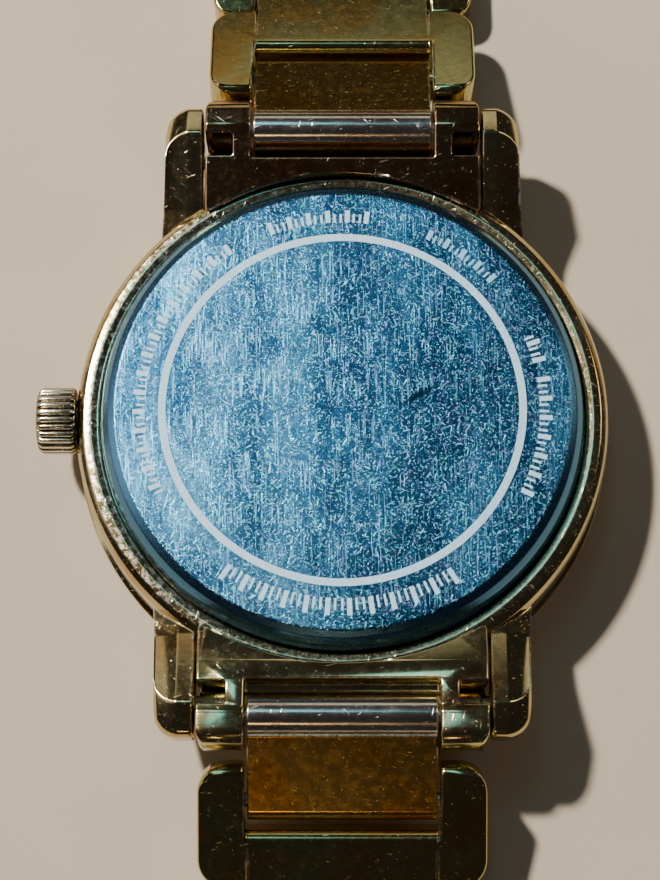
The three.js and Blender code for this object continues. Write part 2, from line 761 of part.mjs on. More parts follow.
// Hangs a strand's pieces from one end of the case. side is +1 at twelve o'clock and -1 at six.
function addStrand(word, side, links) {
  const whole = side > 0 ? (solid) => solid : mirroredY;
  addPiece(`spring_bar_${word}`, whole(springBar()), steel);
  addPiece(`end_link_${word}`, whole(endLink()), gold);
  let { y, z } = endPivot;
  place(addPiece(`end_link_pin_${word}`, pin(endLinkHalf - 0.15), steel), y, z, 0, side);
  place(addPiece(`connector_${word}`, connector(), gold), y, z, connectorSlope, side);
  y += connectorPitch * Math.cos(rad(connectorSlope));
  z -= connectorPitch * Math.sin(rad(connectorSlope));
  for (let i = 1; i <= links; i += 1) {
    // each link drops as far as the first one's slope lets it, and stops at the table
    const drop = Math.min(linkPitch * Math.sin(rad(firstLinkSlope)), z - tableHeight);
    const slope = THREE.MathUtils.radToDeg(Math.asin(drop / linkPitch));
    place(addPiece(`link_${word}_${i}`, link(), gold), y, z, slope, side);
    place(addPiece(`link_pin_${word}_${i}`, pin(), steel), y, z, slope, side);
    y += linkPitch * Math.cos(rad(slope));
    z -= drop;
  }
  return { y, z };
}

function addClasp({ y, z }) {
  const clasp = new THREE.Group();
  clasp.position.set(0, y, z);
  addPiece('clasp_cover', claspCover(), gold, clasp);
  addPiece('clasp_pin', pin(), steel, clasp);
  addPiece('clasp_outer_leaf', outerLeaf(), gold, clasp);
  addPiece('clasp_inner_leaf', innerLeaf(), gold, clasp);
  addPiece('clasp_spring_bar', claspSpringBar(), steel, clasp);
  addPiece('push_button_right', pushButton(), gold, clasp);
  addPiece('push_button_left', mirroredX(pushButton()), gold, clasp);
  watch.add(clasp);
}

addHead();
addMovement();
addClasp(addStrand('upper', 1, upperLinks));
addStrand('lower', -1, lowerLinks);

export default watch;
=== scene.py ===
import json
import math
import bmesh
import bpy
from mathutils import Matrix, Vector


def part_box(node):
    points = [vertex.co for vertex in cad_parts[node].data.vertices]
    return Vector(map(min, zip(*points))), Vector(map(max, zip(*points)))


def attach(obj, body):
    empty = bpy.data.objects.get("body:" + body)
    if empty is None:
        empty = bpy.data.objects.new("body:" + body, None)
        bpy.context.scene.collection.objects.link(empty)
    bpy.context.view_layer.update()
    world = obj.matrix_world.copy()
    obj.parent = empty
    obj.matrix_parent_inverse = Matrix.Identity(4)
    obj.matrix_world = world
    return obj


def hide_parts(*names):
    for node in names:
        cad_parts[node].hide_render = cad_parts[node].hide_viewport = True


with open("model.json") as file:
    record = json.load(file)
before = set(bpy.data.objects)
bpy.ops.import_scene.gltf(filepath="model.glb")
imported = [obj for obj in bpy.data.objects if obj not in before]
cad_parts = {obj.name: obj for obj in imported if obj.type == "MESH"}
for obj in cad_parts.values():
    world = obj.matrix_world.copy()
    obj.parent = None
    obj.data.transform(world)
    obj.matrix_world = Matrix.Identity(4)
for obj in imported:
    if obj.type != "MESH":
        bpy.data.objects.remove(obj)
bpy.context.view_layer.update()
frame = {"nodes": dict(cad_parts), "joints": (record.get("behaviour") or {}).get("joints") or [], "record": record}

mm = 0.001
scene = bpy.context.scene
subparts = {part["node"]: part for part in frame["record"]["subparts"]}
bodies = {node: body for body, nodes in frame["record"]["behaviour"]["bodies"].items() for node in nodes}
pivots = {joint["name"]: Vector(joint["pos_m"]) / mm for joint in frame["joints"] if joint.get("pos_m")}
print("frame loaded:", len(frame["nodes"]), "nodes,", len(pivots), "pivots")


# camera and lights

view = {"place": (0, -50.52, 168.82), "look": (-0.00507, 0.2874, -0.9578), "lens": 99.33}
studio = {
    "floor": (0.52, 0.45, 0.35),
    "world": (0.020, 0.020, 0.024),
    "lamps": {  # place, size, watts, colour
        "key": ((-0.36, 0.26, 0.60), (0.05, 0.05), 10.0, (1.0, 0.94, 0.84)),
        "window": ((-0.12, 0.36, 0.96), (0.19, 0.26), 0.36, (0.20, 0.68, 1.0)),
        "backCard": ((-0.10, 0.85, 0.50), (0.7, 0.2), 0.3, (1.0, 0.95, 0.80)),
        "leftCard": ((-0.75, 0.05, 0.40), (0.4, 0.45), 0.6, (1.0, 0.95, 0.88)),
        "rightCard": ((0.62, 0.30, 0.52), (0.2, 0.3), 0.6, (1.0, 0.92, 0.74)),
        "lowCard": ((-0.08, -0.72, 0.62), (0.10, 0.05), 0.16, (1.0, 0.70, 0.34)),
    },
}


def makeCamera():
    look = Vector(view["look"]).normalized()
    across = (Vector((1, 0, 0)) - look * look.x).normalized()
    turn = Matrix((across, across.cross(look), -look)).transposed().to_4x4()
    data = bpy.data.cameras.new("camera")
    data.lens = view["lens"]
    data.sensor_width = 36
    data.clip_start = 0.01
    camera = bpy.data.objects.new("camera", data)
    scene.collection.objects.link(camera)
    camera.matrix_world = Matrix.Translation(Vector(view["place"]) * mm) @ turn
    scene.camera = camera


def makeLamp(name, at, size, watts, colour):
    data = bpy.data.lights.new(name, "AREA")
    data.shape = "RECTANGLE"
    data.size, data.size_y = size
    data.energy = watts
    data.color = colour
    lamp = bpy.data.objects.new(name, data)
    scene.collection.objects.link(lamp)
    lamp.location = at
    lamp.rotation_euler = (-Vector(at)).to_track_quat("-Z", "Y").to_euler()


# shader maths

class Wire:  # one socket; an expression on wires adds the Math nodes
    def __init__(self, tree, socket):
        self.tree = tree
        self.socket = socket

    def maths(self, operation, first, second):
        return addNode(self.tree, "ShaderNodeMath", {"operation": operation}, {0: first, 1: second})

    def __add__(self, other):
        return self.maths("ADD", self, other)

    def __sub__(self, other):
        return self.maths("SUBTRACT", self, other)

    def __mul__(self, other):
        return self.maths("MULTIPLY", self, other)

    def __radd__(self, other):
        return self.maths("ADD", other, self)

    def __rsub__(self, other):
        return self.maths("SUBTRACT", other, self)

    def __rmul__(self, other):
        return self.maths("MULTIPLY", other, self)

    def root(self):
        return self.maths("SQRT", self, 0)

    def larger(self, other):
        return self.maths("MAXIMUM", self, other)


def addNode(tree, kind, settings=None, inputs=None, out=0):
    made = tree.nodes.new(kind)
    for key, value in (settings or {}).items():
        setattr(made, key, value)
    for key, value in (inputs or {}).items():
        socket = made.inputs[key]
        if isinstance(value, Wire):
            tree.links.new(value.socket, socket)
        elif socket.type == "RGBA":
            socket.default_value = (*value, 1)
        else:
            socket.default_value = value
    return Wire(tree, made.outputs[out]) if len(made.outputs) else None


def newMaterial(name):
    material = bpy.data.materials.new(name)
    material.use_nodes = True
    material.node_tree.nodes.clear()
    return material, material.node_tree


def shade(tree, inputs):
    shader = addNode(tree, "ShaderNodeBsdfPrincipled", None, inputs)
    addNode(tree, "ShaderNodeOutputMaterial", None, {"Surface": shader})


def place(tree, stretch=(1, 1, 1), turn=(0, 0, 0)):  # object coordinates in millimetres
    here = addNode(tree, "ShaderNodeTexCoord", None, None, "Object")
    scale = tuple(s / mm for s in stretch)
    flat = addNode(tree, "ShaderNodeMapping", None, {"Vector": here, "Rotation": turn})
    return addNode(tree, "ShaderNodeMapping", None, {"Vector": flat, "Scale": scale})


def noise(tree, scale, detail=3.0, rough=0.55, stretch=(1, 1, 1), turn=(0, 0, 0)):
    inputs = {"Vector": place(tree, stretch, turn), "Scale": scale, "Detail": detail, "Roughness": rough}
    return addNode(tree, "ShaderNodeTexNoise", None, inputs)


def step(tree, wire, low, high):
    inputs = {"Value": wire, "From Min": low, "From Max": high}
    return addNode(tree, "ShaderNodeMapRange", {"interpolation_type": "SMOOTHSTEP"}, inputs)


def mixed(tree, factor, first, second):
    return addNode(tree, "ShaderNodeMix", {"data_type": "RGBA"}, {0: factor, 6: first, 7: second}, 2)


def bump(tree, height, strength, depth):
    inputs = {"Height": height, "Strength": strength, "Distance": depth * mm}
    return addNode(tree, "ShaderNodeBump", None, inputs)


def dimmed(colour, share):
    return tuple(c * share for c in colour)


# short straight hairlines, in one set for each angle
def hairlines(tree, angles, scale, long, low, high):
    total = None
    for angle in angles:
        turn = (0, 0, math.radians(angle))
        lines = step(tree, noise(tree, scale, 2.0, 0.5, (1, 1 / long, 1), turn), low, high)
        total = lines if total is None else total.larger(lines)
    return total


# pale edges: partly worn plating, partly a painted highlight along edges
def edgeWearAndHighlight(tree, radius, low=0.01, high=0.12):
    soft = addNode(tree, "ShaderNodeBevel", {"samples": 4}, {"Radius": radius * mm})
    sharp = addNode(tree, "ShaderNodeNewGeometry", None, None, "Normal")
    same = addNode(tree, "ShaderNodeVectorMath", {"operation": "DOT_PRODUCT"}, {0: soft, 1: sharp}, "Value")
    return step(tree, 1 - same, low, high)


# finishes; several colours hold painted reflection, highlight and shade

# gold palettes: each amber colour is a painted reflection of brown surroundings, mixed in random blotches
goldPlatingAndReflections = {
    "caseRim": {
        "gold": (0.60, 0.49, 0.24), "amberReflection": (0.50, 0.26, 0.07), "wornAndHighlight": (0.86, 0.86, 0.76),
        "rough": 0.13, "grit": 0.5,
    },
    "case_gold": {
        "gold": (0.66, 0.55, 0.28), "amberReflection": (0.52, 0.26, 0.07), "wornAndHighlight": (0.95, 0.90, 0.74),
        "rough": 0.13, "grit": 0.4,
    },
    "link_gold": {
        "gold": (0.50, 0.47, 0.20), "amberReflection": (0.62, 0.32, 0.06), "wornAndHighlight": (0.92, 0.88, 0.66),
        "rough": 0.12, "grit": 0.35,
    },
    # the next two are one end-link gold: a darker copy for the upper link (painted shade and dark reflection) and
    # a lighter olive copy for the lower link (painted highlight)
    "endGoldShaded": {
        "gold": (0.48, 0.31, 0.15), "amberReflection": (0.38, 0.13, 0.04), "wornAndHighlight": (0.90, 0.82, 0.66),
        "rough": 0.11, "grit": 0.25,
    },
    "endGoldLit": {
        "gold": (0.68, 0.62, 0.30), "amberReflection": (0.52, 0.24, 0.11), "wornAndHighlight": (0.95, 0.90, 0.70),
        "rough": 0.14, "grit": 0.3,
    },
    # a pale copy of the connector gold for the rounded barrels: painted highlight
    "barrelGoldLit": {
        "gold": (0.84, 0.78, 0.66), "amberReflection": (0.66, 0.48, 0.34), "wornAndHighlight": (0.98, 0.95, 0.86),
        "rough": 0.15, "grit": 0.4,
    },
    # connector plates: strong amber, a painted reflection of brown surroundings
    "connectorGold": {
        "gold": (0.70, 0.44, 0.12), "amberReflection": (0.80, 0.32, 0.02), "wornAndHighlight": (0.94, 0.84, 0.56),
        "rough": 0.15, "grit": 0.4,
    },
    "clasp_gold": {
        "gold": (0.62, 0.51, 0.20), "amberReflection": (0.62, 0.36, 0.09), "wornAndHighlight": (0.90, 0.82, 0.60),
        "rough": 0.22, "grit": 0.3,
    },
}


def goldPlate(name, facts):
    material, tree = newMaterial(name)
    amberReflectionBlotch = step(tree, noise(tree, 0.2, 3.0), 0.42, 0.66)
    pits = step(tree, noise(tree, 7.0, 2.0, 0.6), 0.68, 0.76)
    haze = step(tree, noise(tree, 1.6, 6.0, 0.72), 0.42, 0.78)
    hair = hairlines(tree, (14, 71, 128), 7.5, 14, 0.69, 0.78)
    # edges lightened: partly real wear, partly painted highlight
    wearAndHighlight = edgeWearAndHighlight(tree, 0.24) * (0.5 + 0.5 * haze)
    # painted reflection: amber blotches stand for brown surroundings mirrored in the gold
    base = mixed(tree, amberReflectionBlotch * 0.65, facts["gold"], facts["amberReflection"])
    base = mixed(tree, haze * 0.25, base, dimmed(facts["gold"], 0.5))
    # the rim's scuffs carry a painted highlight and painted glints
    if name == "caseRim":
        scuffAndHighlight = rimScuffsAndHighlight(tree)
        wearAndHighlight = wearAndHighlight.larger(scuffAndHighlight)
    base = mixed(tree, wearAndHighlight * 0.8, base, facts["wornAndHighlight"])
    base = mixed(tree, (hair * 0.35).larger(pits * 0.5), base, facts["wornAndHighlight"])
    rough = facts["rough"] + haze * 0.1 + hair * 0.16 + wearAndHighlight * 0.2
    relief = haze * 0.2 - hair - pits
    normal = bump(tree, relief, facts["grit"], 0.015)
    shade(tree, {"Base Color": base, "Metallic": 1.0, "Roughness": rough, "Normal": normal})
    return material


def rimScuffsAndHighlight(tree):  # bare patches on the ring around the case back, denser on the left where the key light falls (painted highlight), with painted glints
    parts = {"Vector": place(tree)}
    x, y, z = (addNode(tree, "ShaderNodeSeparateXYZ", None, parts, axis) for axis in ("X", "Y", "Z"))
    radius = (x * x + y * y).root()
    onTop = step(tree, z, rimHeight - 0.35, rimHeight - 0.05)
    inside = step(tree, caseRadius - radius, 0.35, 0.7)
    # painted highlight: the left side, facing the key light, gets more pale patches
    leftHighlight = 0.3 + 0.7 * step(tree, 0 - x, -12, 16)
    fleck = step(tree, noise(tree, 2.2, 5.0, 0.75), 0.45, 0.58)
    # painted glints: tiny pale specks
    paintedGlint = step(tree, noise(tree, 8.0, 2.0, 0.6), 0.6, 0.68)
    return onTop * inside * (leftHighlight * fleck * 0.6).larger(paintedGlint * 0.6)


def crownGold(name, radius, depth):  # pale ridges are a painted highlight, dark grooves painted shade
    material, tree = newMaterial(name)
    parts = {"Vector": place(tree)}
    y, z = (addNode(tree, "ShaderNodeSeparateXYZ", None, parts, axis) for axis in ("Y", "Z"))
    up = z - crownHeight
    litRidge = step(tree, (y * y + up * up).root(), radius - depth, radius - 0.04)
    haze = step(tree, noise(tree, 2.4, 5.0, 0.7), 0.4, 0.75)
    base = mixed(tree, litRidge, (0.10, 0.07, 0.035), (0.84, 0.78, 0.60))
    base = mixed(tree, haze * 0.4, base, (0.62, 0.48, 0.24))
    normal = bump(tree, haze, 0.3, 0.02)
    shade(tree, {"Base Color": base, "Metallic": 1.0, "Roughness": 0.2 + haze * 0.12, "Normal": normal})
    return material


# the case back's colours are a painted reflection of a blue sky in the steel: bright and dark blues, near-black, a
# darker dome and pale cyan glints
steelFinishAndSkyReflection = {
    "bright": (0.11, 0.42, 0.68), "dark": (0.022, 0.13, 0.26), "night": (0.004, 0.02, 0.045),
    "line": (0.24, 0.82, 0.90), "violet": (0.40, 0.58, 1.0), "shoulder": (0.10, 0.25, 0.42), "rough": 0.14,
    "gouge": {"x": 5.4, "y": 0.9, "turn": 0.5, "slim": 0.15},  # one deep dark scratch
}


def backSteel(name):
    material, tree = newMaterial(name)
    upright = hairlines(tree, (-2, 1), 10.0, 30, 0.58, 0.74)
    crossed = hairlines(tree, (14, 41, 66, 109, 137, 161), 8.0, 6, 0.66, 0.76)
    deep = hairlines(tree, (30, 74, 121, 158), 5.5, 8, 0.72, 0.78)
    paintedGlint = step(tree, noise(tree, 7.5, 2.0, 0.8), 0.60, 0.68)
    grain = step(tree, noise(tree, 5.0, 5.0, 0.85), 0.36, 0.6)
    tint = step(tree, noise(tree, 2.5, 2.0, 0.6), 0.42, 0.58)
    # painted reflection: broad brighter and darker bands
    reflectionBands = step(tree, noise(tree, 0.2, 3.0, 0.6, (1, 0.35, 1)), 0.4, 0.6)
    base = mixed(tree, reflectionBands, steelFinishAndSkyReflection["dark"], steelFinishAndSkyReflection["bright"])
    base = mixed(tree, grain * 0.7, base, steelFinishAndSkyReflection["night"])
    x = addNode(tree, "ShaderNodeSeparateXYZ", None, {"Vector": place(tree)}, "X")
    y = addNode(tree, "ShaderNodeSeparateXYZ", None, {"Vector": place(tree)}, "Y")
    inside = step(tree, flatRadius - (x * x + y * y).root(), -0.12, 0.02)
    # the scratches are real; their pale cyan and violet colour and the specks are painted glints
    lines = (upright * 0.35).larger(crossed * 0.5).larger(paintedGlint * 0.8).larger(deep)
    lines = lines * (0.12 + 0.88 * inside)
    # painted reflection: the dome outside the flat is darker
    base = mixed(tree, inside, steelFinishAndSkyReflection["shoulder"], base)
    line = mixed(tree, tint, steelFinishAndSkyReflection["line"], steelFinishAndSkyReflection["violet"])
    base = mixed(tree, lines * 0.85, base, line)
    gouge = steelFinishAndSkyReflection["gouge"]
    c, s = math.cos(gouge["turn"]), math.sin(gouge["turn"])
    along = (x - gouge["x"]) * c + (y - gouge["y"]) * s
    across = (y - gouge["y"]) * c - (x - gouge["x"]) * s
    near = step(tree, along.larger(0 - along) * gouge["slim"] + across.larger(0 - across), 0.32, 0.16)
    base = mixed(tree, near * 0.9, base, steelFinishAndSkyReflection["night"])
    rough = steelFinishAndSkyReflection["rough"] + grain * 0.12 + lines * 0.25
    normal = bump(tree, grain * 0.3 - lines, 0.45, 0.02)
    shade(tree, {"Base Color": base, "Metallic": 1.0, "Roughness": rough, "Normal": normal})
    return material


def etchedSteel(name, white):
    material, tree = newMaterial(name)
    frost = step(tree, noise(tree, 9.0, 3.0, 0.7), 0.35, 0.7)
    # etched marks start from the painted sky-reflection blue of the back
    plain = steelFinishAndSkyReflection["bright"]
    low, high = [
        tuple(p + (f - p) * white for p, f in zip(plain, full))
        for full in ((0.36, 0.58, 0.76), (0.62, 0.84, 1.0))
    ]
    base = mixed(tree, frost, low, high)
    normal = bump(tree, frost, 0.5, 0.02)
    shade(tree, {"Base Color": base, "Metallic": 0.35, "Roughness": 0.5 + frost * 0.2, "Normal": normal})
    return material


def turnedMetal(name, colour, rough, scale=1.6):
    material, tree = newMaterial(name)
    grain = noise(tree, scale, 4.0, 0.6, (6, 1, 6))
    marks = step(tree, grain, 0.35, 0.75)
    base = mixed(tree, marks, colour, dimmed(colour, 0.72))
    normal = bump(tree, grain, 0.25, 0.01)
    shade(tree, {"Base Color": base, "Metallic": 1.0, "Roughness": rough + marks * 0.15, "Normal": normal})
    return material


def mattFinish(name, colour, rough):
    material, tree = newMaterial(name)
    grain = noise(tree, 5.0, 4.0, 0.6)
    marks = step(tree, grain, 0.35, 0.75)
    base = mixed(tree, marks, colour, dimmed(colour, 0.88))
    normal = bump(tree, grain, 0.15, 0.01)
    shade(tree, {"Base Color": base, "Roughness": rough + marks * 0.1, "Normal": normal})
    return material


def crystalGlass(name):
    material, tree = newMaterial(name)
    smear = step(tree, noise(tree, 0.3, 4.0, 0.6, (1, 0.4, 1)), 0.4, 0.8)
    inputs = {"Base Color": (0.96, 0.99, 1.0), "IOR": 1.5, "Transmission Weight": 1.0}
    shade(tree, {**inputs, "Roughness": 0.02 + smear * 0.05})
    return material


def floorPaint(name):
    material, tree = newMaterial(name)
    fleck = step(tree, noise(tree, 0.1, 3.0, 0.5), 0.3, 0.7)
    base = mixed(tree, fleck * 0.3, studio["floor"], dimmed(studio["floor"], 0.92))
    shade(tree, {"Base Color": base, "Roughness": 0.85})
    return material


# mesh tools, in millimetres

def rounded(corners, steps=8):  # a loop through corners (x, y, radius)
    loop = []
    count = len(corners)
    for i, corner in enumerate(corners):
        here = Vector(corner[:2])
        radius = corner[2] if len(corner) > 2 else 0
        if radius == 0:
            loop.append(here)
            continue
        back = (Vector(corners[i - 1][:2]) - here).normalized()
        onward = (Vector(corners[(i + 1) % count][:2]) - here).normalized()
        half = back.angle(onward) / 2
        centre = here + (back + onward).normalized() * (radius / math.sin(half))
        start = here + back * (radius / math.tan(half)) - centre
        end = here + onward * (radius / math.tan(half)) - centre
        swing = math.atan2(start.x * end.y - start.y * end.x, start.dot(end))
        for k in range(steps + 1):
            loop.append(centre + Matrix.Rotation(swing * k / steps, 2) @ start)
    return loop


def meshPiece(name, points, faces):
    mesh = bpy.data.meshes.new(name)
    mesh.from_pydata([Vector(p) * mm for p in points], [], faces)
    shaped = bmesh.new()
    shaped.from_mesh(mesh)
    bmesh.ops.remove_doubles(shaped, verts=shaped.verts, dist=1e-7)
    bmesh.ops.recalc_face_normals(shaped, faces=shaped.faces)
    shaped.to_mesh(mesh)
    shaped.free()
    piece = bpy.data.objects.new(name, mesh)
    scene.collection.objects.link(piece)
    return piece


def skinned(name, rings, closed=True):  # loops of equal length joined in order, capped at both ends
    count = len(rings[0])
    points = [point for ring in rings for point in ring]
    faces = []
    for i in range(len(rings) - 1):
        for k in range(count):
            n = (k + 1) % count
            faces.append((i * count + k, i * count + n, (i + 1) * count + n, (i + 1) * count + k))
    if closed:
        faces.append(tuple(range(count)))
        faces.append(tuple((len(rings) - 1) * count + k for k in range(count)))
    return meshPiece(name, points, faces)


def plate(name, loop, low, high):  # a plan outline raised in z
    return skinned(name, [[(p.x, p.y, z) for p in loop] for z in (low, high)])


def drawn(name, loop, low, high):  # a side outline (y, z) drawn along x
    return skinned(name, [[(x, p.x, p.y) for p in loop] for x in (low, high)])


def block(name, x, y, z):
    loop = [Vector((x[0], y[0])), Vector((x[1], y[0])), Vector((x[1], y[1])), Vector((x[0], y[1]))]
    return plate(name, loop, *z)


def turned(name, profile, sides=192, steps=5, axis="z"):  # a closed (radius, height) profile about an axis
    loop = rounded(profile, steps)
    rings = []
    for i in range(sides):
        angle = 2 * math.pi * i / sides
        c, s = math.cos(angle), math.sin(angle)
        if axis == "z":
            rings.append([(p.x * c, p.x * s, p.y) for p in loop])
        else:
            rings.append([(p.y, p.x * c, p.x * s) for p in loop])
    return skinned(name, rings + rings[:1], closed=False)


def rod(name, radius, x, y, z, sides=40):  # along x
    piece = turned(name, [(0, x[0]), (radius, x[0]), (radius, x[1]), (0, x[1])], sides, axis="x")
    piece.data.transform(Matrix.Translation((0, y * mm, z * mm)))
    return piece


def settle(piece):  # makes the modifiers part of the mesh
    graph = bpy.context.evaluated_depsgraph_get()
    mesh = bpy.data.meshes.new_from_object(piece.evaluated_get(graph))
    piece.modifiers.clear()
    piece.data = mesh
    return piece


def carved(piece, *steps):
    for operation, tool in steps:
        cut = piece.modifiers.new(operation, "BOOLEAN")
        cut.operation = operation
        cut.object = tool
        cut.solver = "EXACT"
    settle(piece)
    for operation, tool in steps:
        bpy.data.objects.remove(tool)
    return piece


def softened(piece, width, angle=32, segments=3, clamp=True):
    for face in piece.data.polygons:
        face.use_smooth = True
    edge = piece.modifiers.new("edges", "BEVEL")
    edge.width = width * mm
    edge.segments = segments
    edge.limit_method = "ANGLE"
    edge.angle_limit = math.radians(angle)
    edge.use_clamp_overlap = clamp
    edge.miter_outer = "MITER_ARC"
    even = piece.modifiers.new("even", "WEIGHTED_NORMAL")
    even.keep_sharp = True
    return settle(piece)


def smooth(piece, angle=30):
    shaped = bmesh.new()
    shaped.from_mesh(piece.data)
    for face in shaped.faces:
        face.smooth = True
    for edge in shaped.edges:
        edge.smooth = len(edge.link_faces) == 2 and edge.calc_face_angle() < math.radians(angle)
    shaped.to_mesh(piece.data)
    shaped.free()
    return piece


def standFor(piece, node, finish=None):  # the piece takes the node's place, body and slot
    slot = subparts[node]["material_slot"]
    piece.data.materials.clear()
    piece.data.materials.append(finishes[finish or slot])
    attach(piece, bodies[node])
    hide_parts(node)
    return piece


def trim(piece, node, finish):  # a detail that goes with a node
    piece.data.materials.clear()
    piece.data.materials.append(finishes[finish])
    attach(piece, bodies[node])
    return piece


def copied(piece, name, matrix=None):
    twin = bpy.data.objects.new(name, piece.data.copy())
    scene.collection.objects.link(twin)
    if matrix is not None:
        twin.data.transform(matrix)
        if matrix.determinant() < 0:
            twin.data.flip_normals()
    return twin


# sizes that the frame gives, in millimetres

def span(node):
    low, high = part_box(node)
    return low / mm, high / mm


caseLow, caseHigh = span("case_middle")
backHigh = span("case_back")[1]
dialHigh = span("dial")[1]
bezelLow, bezelHigh = span("bezel")
crystalHigh = span("crystal")[1]
crownLow, crownHigh = span("crown")
barLow, barHigh = span("spring_bar_upper")
endHigh = span("end_link_upper")[1]
caseRadius = caseHigh.x
backFace = backHigh.z
rimHeight = backFace - 1.7
dialRadius = dialHigh.x
boreRadius = dialRadius + 0.1
crystalRadius = crystalHigh.x
bezelTop = bezelHigh.z
crownHeight = (crownLow.z + crownHigh.z) / 2
pinRadius = (span("clasp_pin")[1].z - span("clasp_pin")[0].z) / 2
linkHalf = span("link_upper_4")[1].x
thick = 1.4  # half a link's thickness
tongueHalf = span("connector_upper")[1].x
fingerInner = tongueHalf + 0.2
legReach = 2.6
slotDepth = 1.9
tongueReach = 1.3
barrelReach = 1.5  # just outside a connector's barrel
flatRadius = backHigh.x - 1.08  # the case back's flat


finishes = {name: goldPlate(name, facts) for name, facts in goldPlatingAndReflections.items()}
finishes.update({
    "crownGold": crownGold("crownGold", crownHigh.z - crownHeight, 0.24),
    "back_steel": backSteel("backSteel"),
    "etched": etchedSteel("etchedSteel", 1.0),
    "etchedFaint": etchedSteel("etchedFaintSteel", 0.45),
    "trackInk": mattFinish("trackInk", (0.03, 0.03, 0.035), 0.4),
    "pin_steel": turnedMetal("pinSteel", (0.58, 0.56, 0.52), 0.26),
    "mineral_glass": crystalGlass("crystalGlass"),
    "gasket_nylon": mattFinish("gasketNylon", (0.80, 0.80, 0.77), 0.45),
    "gasket_rubber": mattFinish("gasketRubber", (0.02, 0.02, 0.022), 0.65),
    "dial_paint": mattFinish("dialPaint", (0.86, 0.83, 0.76), 0.35),
    "hand_gold": turnedMetal("handGold", (0.85, 0.62, 0.30), 0.18),
    "movement_brass": turnedMetal("movementBrass", (0.72, 0.56, 0.28), 0.34),
    "movement_steel": turnedMetal("movementSteel", (0.55, 0.55, 0.55), 0.32),
    "ring_plastic": mattFinish("ringPlastic", (0.78, 0.78, 0.74), 0.5),
    "coil_copper": turnedMetal("coilCopper", (0.66, 0.32, 0.16), 0.36, 5.0),
})
print("finishes made:", len(finishes))


# the case

lug = {"inner": 10, "width": 2.7, "tip": 1.7, "crease": 0.42, "fall": 0.95, "edge": 0.14, "stations": 22}


def lugRing(t):
    x = lug["width"] * t
    fall = max(0, t - lug["crease"]) * lug["fall"] + 0.22 * max(0, 1 - t / 0.06) ** 2
    over = max(0, x - (lug["width"] - lug["tip"]))
    short = lug["tip"] - math.sqrt(max(0, lug["tip"] ** 2 - over ** 2)) + 0.2 * max(0, 1 - t / 0.08) ** 2
    rise = 0.25 * max(0, 1 - t / 0.08) ** 2 + 0.35 * max(0, (t - 0.85) / 0.15) ** 2
    tip = caseHigh.y - 0.01 - short
    top = caseHigh.z - 0.01 - fall
    low = bezelTop + 1.05 + rise
    loop = rounded([
        (caseRadius - 6.2, top - 2.95),
        (caseRadius - 6.2, low),
        (caseRadius - 1.2, low),
        (tip - 2.6, low + 0.45, 2.5),
        (tip - 0.2, low + 1.9, 1.2),
        (tip, top - 0.65, 0.6),
        (tip - 2.25, top, 0.5),
        (caseRadius - 3.2, top - 2.05, 3.5),
    ], 6)
    flare = [lug["width"] * t + 0.5 * t * min(1, max(0, (18 - p.x) / 7)) for p in loop]
    return [(lug["inner"] + f, p.x, p.y) for f, p in zip(flare, loop)]


def makeLug(name):
    count = lug["stations"]
    shares = [0, 0.02, 0.05] + [0.08 + 0.92 * i / count for i in range(count + 1)]
    piece = skinned(name, [lugRing(t) for t in shares])
    hole = rod("hole", 0.45, (lug["inner"] - 1, lug["inner"] + 1.05), barMiddle.x, barMiddle.y, 24)
    return carved(piece, ("DIFFERENCE", hole))


barMiddle = Vector(((barLow.y + barHigh.y) / 2, (barLow.z + barHigh.z) / 2))


rim = {"inner": 1.75}  # inside the band


def makeCase():
    r = caseRadius
    low = caseLow.z
    ring = turned("caseMiddle", [
        (boreRadius - 0.7, low),
        (r - 0.75, low, 0.05),
        (r - 0.6, low + 0.55, 0.15),
        (r, low + 1.05, 0.5),
        (r, rimHeight - 1.1, 0.6),
        (r - 0.22, rimHeight - 0.4, 0.25),
        (r - 0.6, rimHeight - 0.08, 0.3),
        (r - 1.1, rimHeight, 0.8),
        (r - 1.6, rimHeight - 0.1, 0.2),
        (r - rim["inner"], rimHeight - 0.3, 0.1),
        (r - rim["inner"], rimHeight - 0.8),
        (boreRadius, rimHeight - 0.8),
        (boreRadius, low + 0.75),
        (boreRadius - 0.7, low + 0.75),
    ])
    first = makeLug("lug")
    turns = [Matrix.Diagonal((sx, sy, 1, 1)) for sx, sy in ((-1, 1), (1, -1), (-1, -1))]
    lugs = [first] + [copied(first, "lug", turn) for turn in turns]
    tube = rod("tubeHole", 1.05, (-r - 1, -boreRadius + 1), 0, crownHeight)
    room = crownHigh.z - crownHeight + 0.12
    knob = rod("crownRoom", room, (-r - 1, crownHigh.x + 0.1), 0, crownHeight, 96)
    carved(ring, *[("UNION", one) for one in lugs], ("DIFFERENCE", knob), ("DIFFERENCE", tube))
    smooth(ring, 24)
    standFor(ring, "case_middle", "caseRim")


def makeBezel():
    r = bezelHigh.x
    inner = crystalRadius + 0.5
    low = bezelLow.z
    piece = turned("bezelRing", [
        (crystalRadius - 0.9, bezelTop - 0.2),
        (inner, bezelTop - 0.2),
        (inner, low + 0.12, 0.06),
        (inner + 0.6, low, 0.15),
        (r - 0.8, low + 0.12, 0.8),
        (r, low + 0.8, 0.35),
        (r - 0.1, bezelTop - 0.35, 0.1),
        (r - 0.6, bezelTop, 0.08),
        (crystalRadius - 0.9, bezelTop),
    ])
    standFor(smooth(piece, 40), "bezel")


def makeCrystal():
    r = crystalRadius
    top = crystalHigh.z
    profile = [(0, 0), (r - 0.4, 0, 0.15), (r, 0.35, 0.15), (r, top, 0.05), (0, top)]
    standFor(smooth(turned("crystalDisc", profile)), "crystal")


